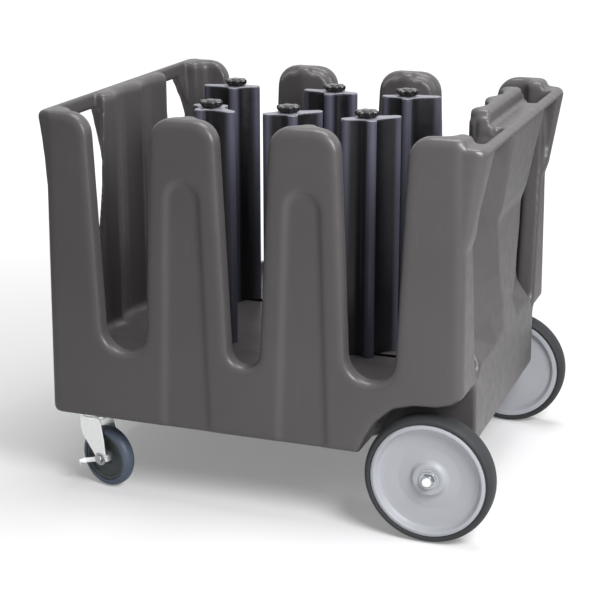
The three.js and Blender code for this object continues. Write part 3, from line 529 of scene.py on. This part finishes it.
def fork(name, swivel):
    """Pressed fork: two cheeks that narrow to the bolt, joined by a crown with a turned-down rim."""
    eye = [(TRAIL + CHEEK_EYE * math.cos(t), CASTER_RADIUS + CHEEK_EYE * math.sin(t))
           for t in map(math.radians, CHEEK_EYE_TURNS)]
    outline = [Vector(p) for p in (*CHEEK_FRONT, *eye, *CHEEK_BACK)]
    made = []
    for way in (-1, 1):
        cheek = []
        for shrink, y in CHEEK_LEVELS:
            drawn = [p + (CHEEK_MIDDLE - p).normalized() * shrink for p in outline]
            cheek.append([(p.x, way * y, p.y) for p in drawn])
        made.append(meshed("cheek", cheek, swivel))
    made.append(turned("crown", CROWN, (0.8, 3), swivel, 64))
    work = bmesh.new()
    for mesh in made:
        work.from_mesh(mesh)
        bpy.data.meshes.remove(mesh)
    mesh = mesh_of(f"fork_{name}", work)
    smooth(mesh, 40)
    stand_in(f"fork_{name}", mesh, f"caster_fork_{name}")


def caster(name, side):
    pin = moved(CASTER_X, side * CASTER_Y, 0)
    swivel = pin @ Matrix.Rotation(math.radians(side * FORK_TURN), 4, "Z")
    wheel = swivel @ moved(TRAIL, 0, CASTER_RADIUS)
    axis = wheel @ Matrix.Rotation(-side * math.pi / 2, 4, "X")
    turned_piece(f"core_{name}", CORE, (1, 3), axis, 64, f"caster_core_{name}")
    turned_piece(f"caster_tread_{name}", CASTER_TYRE, (1, 2), axis, 72, f"caster_tyre_{name}")
    fork(name, swivel)
    refined(f"caster_plate_{name}", 0.9)
    refined(f"caster_bolt_{name}", 0.8, 28)
    refined(f"brake_pedal_{name}", 0.9)
    star_washer(f"star_washer_{name}", axis, BODY[f"caster_bolt_{name}"])
    bolt_heads(f"caster_plate_bolt_{name}", 34, 27, 6.6, 156, pin)


for name, side in SIDES:
    caster(name, side)

# ---------------------------------------------------------------- towers

ARMS = (70, 40, 52, 40)  # lengths of the four arms, a quarter turn apart
ARM_HALF = 10.5  # half an arm's thickness
WAIST = 13  # how far out the hollow faces between the arms are pulled
UNSHADED_REACH, FADE = 6, 11  # how far from an arm's end the colour stays clear of the painted hollow shade, and how far that shade then fades in
COLUMN_FOOT, COLUMN_TOP, CAP_LOW, CAP_TOP = 288.3, 764.7, 765.3, 768
KNOB_FOOT = CAP_TOP + 0.3
KNOB_RADIUS, KNOB_LOBES, KNOB_LOBE_DEPTH = 22, 6, 2.6
KNOB_SQUASH = 0.8  # of the profile's heights
KNOB = [  # share of the radius, height and share of the lobes' depth, from the foot up
    (0.42, 0, 0), (0.66, 0.3, 0.3), (0.8, 2.2, 0.8), (0.92, 5, 1), (0.98, 8, 1), (1, 13, 1),
    (0.98, 15.2, 1), (0.93, 16.6, 1), (0.84, 17.3, 1), (0.7, 17.2, 0.7), (0.56, 16.6, 0.3),
    (0.47, 16.6, 0), (0.45, 17.9, 0), (0.38, 18.4, 0), (0.05, 18.4, 0),
]
TOWER_TURN = {  # degrees at rest
    "front_left": -29, "middle_left": 35, "rear_left": 35,
    "front_right": 190, "middle_right": 175, "rear_right": 15,
}


def arm_way(i):
    return Vector((math.cos(i * math.pi / 2), math.sin(i * math.pi / 2)))


def star(shrink=0.0):
    """The tower's section: four round-ended arms with hollow faces between them."""
    out = []
    half = ARM_HALF - shrink
    for i, length in enumerate(ARMS):
        along = arm_way(i)
        across = Vector((-along.y, along.x))
        for turn in map(math.radians, range(-90, 91, 15)):
            reach = length - shrink - half + half * math.cos(turn)
            out.append(along * reach + across * half * math.sin(turn))
        start = out[-1]
        end = across * (ARMS[(i + 1) % 4] - shrink - half) + along * half
        pull = (along + across) * (WAIST - shrink)
        out += [curved(start, pull, end, k / 14) for k in range(1, 14)]
    return out


def out_of_hollow_shade(point):
    """How far a place on the section stays clear of the painted shade: 1 at the arms' ends, falling
    to 0 in the hollows, which are painted dark.
    """
    reach = max(abs(point.x), abs(point.y))
    arm = next(length for i, length in enumerate(ARMS) if arm_way(i).dot(point) > reach - 0.01)
    return max(0.0, min(1.0, 1 - (arm - reach - UNSHADED_REACH) / FADE))


def star_prism(name, low, high, edge, matrix):
    """An upright star with its edges broken, which carries how far each place stays clear of the
    painted shade in the hollows.
    """
    levels = ((edge, low), (0, low + edge), (0, high - edge), (edge, high))
    rings = [[(p.x, p.y, z) for p in star(shrink)] for shrink, z in levels]
    mesh = meshed(name, rings, matrix)
    painted_hollow_shade = mesh.attributes.new("painted_hollow_shade", "FLOAT", "POINT")
    # The attribute places the painted shade: 1 at the arms' ends, 0 deep in the hollows.
    painted_hollow_shade.data.foreach_set("value", [out_of_hollow_shade(p) for _ in levels for p in star()])
    return mesh


def lobed_knob(name, matrix):
    """A black lobed hand knob, with a dished crown and a small cap in its middle."""
    turns = angles(96)
    waves = [math.cos(KNOB_LOBES * t) for t in turns]
    waves = [w if w > 0 else 1.3 * w for w in waves]
    rings = []
    for share, height, lobes in KNOB:
        reaches = [share * (KNOB_RADIUS + lobes * KNOB_LOBE_DEPTH * w) for w in waves]
        rings.append(circled(reaches, turns, height * KNOB_SQUASH))
    return meshed(name, rings, matrix)


def tower(name):
    low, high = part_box("tower_rod_" + name)
    at = moved(MM * (low[0] + high[0]) / 2, MM * (low[1] + high[1]) / 2, 0)
    turned_at = at @ Matrix.Rotation(math.radians(TOWER_TURN[name]), 4, "Z")
    column = star_prism(f"column_{name}", COLUMN_FOOT, COLUMN_TOP, 0.8, turned_at)
    smooth(column, 40)
    stand_in(f"column_{name}", column, f"tower_column_{name}")
    cap = star_prism(f"cap_{name}", CAP_LOW, CAP_TOP, 0.7, turned_at)
    smooth(cap, 30)
    stand_in(f"cap_{name}", cap, f"tower_cap_{name}")
    knob = lobed_knob(f"knob_{name}", at @ moved(0, 0, KNOB_FOOT))
    smooth(knob, 60)
    stand_in(f"knob_{name}", knob, f"tower_knob_{name}")
    refined(f"tower_clamp_{name}", 1)


for name in TOWERS:
    tower(name)

# ---------------------------------------------------------------- CAD nodes that show as they are

for name, node in nodes.items():
    node.data.materials.clear()
    node.data.materials.append(MATERIALS[SLOT[name]])

# ---------------------------------------------------------------- floor, light and camera

FLOOR_HALF = 60
FLOOR_COLOUR, FLOOR_SEEN = (0.8, 0.8, 0.8, 1), (0.72, 0.72, 0.73, 1)
GLOW_NEAR, GLOW_FAR = (0.7, 0.22), (3, 0.84)  # distance from the cart, and the floor's own light
AMBIENT = 0.22


def floor():
    """A pale floor that fades into the white background, and still takes the cart's shadow."""
    data = bpy.data.meshes.new("floor")
    corners = [(x * FLOOR_HALF, y * FLOOR_HALF, 0) for x, y in ((-1, -1), (1, -1), (1, 1), (-1, 1))]
    data.from_pydata(corners, [], [(0, 1, 2, 3)])
    piece = bpy.data.objects.new("floor", data)
    bpy.context.scene.collection.objects.link(piece)
    graph = Graph("floor")
    graph.tree.nodes.remove(graph.shader)
    pale = graph.add("ShaderNodeBsdfDiffuse")
    pale.inputs["Color"].default_value = FLOOR_COLOUR
    seen = graph.add("ShaderNodeBsdfDiffuse")
    seen.inputs["Color"].default_value = FLOOR_SEEN
    distance = graph.add("ShaderNodeVectorMath", operation="LENGTH")
    graph.join(graph.place, distance.inputs[0])
    (near, dim), (far, bright) = GLOW_NEAR, GLOW_FAR
    strength = graph.span(distance.outputs["Value"], dim, bright, near, far)
    glow = graph.add("ShaderNodeEmission")
    graph.join(strength, glow.inputs["Strength"])
    shown = graph.add("ShaderNodeAddShader")
    graph.join(seen.outputs[0], shown.inputs[0])
    graph.join(glow.outputs[0], shown.inputs[1])
    ray = graph.add("ShaderNodeLightPath")
    chosen = graph.add("ShaderNodeMixShader")
    graph.join(ray.outputs["Is Camera Ray"], chosen.inputs[0])
    graph.join(pale.outputs[0], chosen.inputs[1])
    graph.join(shown.outputs[0], chosen.inputs[2])
    graph.join(chosen.outputs[0], graph.tree.nodes["Material Output"].inputs["Surface"])
    data.materials.append(graph.material)


def world():
    """White where it is seen, straight or mirrored or through glass, and dim as a light."""
    made = bpy.data.worlds.new("studio")
    bpy.context.scene.world = made
    made.use_nodes = True
    tree = made.node_tree
    background = tree.nodes["Background"]
    ray = tree.nodes.new("ShaderNodeLightPath")
    seen = ray.outputs["Is Camera Ray"]
    for other in ("Is Transmission Ray", "Is Glossy Ray"):
        either = tree.nodes.new("ShaderNodeMath")
        either.operation = "MAXIMUM"
        tree.links.new(seen, either.inputs[0])
        tree.links.new(ray.outputs[other], either.inputs[1])
        seen = either.outputs[0]
    strength = tree.nodes.new("ShaderNodeMapRange")
    strength.inputs["To Min"].default_value = AMBIENT
    strength.inputs["To Max"].default_value = 1
    tree.links.new(seen, strength.inputs["Value"])
    tree.links.new(strength.outputs["Result"], background.inputs["Strength"])
    background.inputs["Color"].default_value = (1, 1, 1, 1)


def lamp(name, place, target, size, power):
    data = bpy.data.lights.new(name, "AREA")
    data.shape = "DISK"
    data.size = size
    data.energy = power
    made = bpy.data.objects.new(name, data)
    bpy.context.scene.collection.objects.link(made)
    made.location = place
    aim = Vector(target) - Vector(place)
    made.rotation_euler = aim.to_track_quat("-Z", "Y").to_euler()


def camera(place, azimuth, down, lens):
    data = bpy.data.cameras.new("camera")
    data.sensor_width = 36
    data.lens = lens
    data.clip_end = 200
    made = bpy.data.objects.new("camera", data)
    bpy.context.scene.collection.objects.link(made)
    made.location = place
    made.rotation_euler = (math.radians(90 - down), 0, math.radians(azimuth))
    bpy.context.scene.camera = made


floor()
world()
lamp("key", place=(1.3, -1.15, 1.5), target=(0.1, 0, 0.4), size=0.9, power=41)
lamp("top", place=(0.3, 0.4, 3.8), target=(0, 0, 0.4), size=2.4, power=95)
camera((1.0489, -3.0225, 1.3319), azimuth=19.97, down=17.13, lens=94.84)

bpy.context.scene.view_settings.view_transform = "Standard"
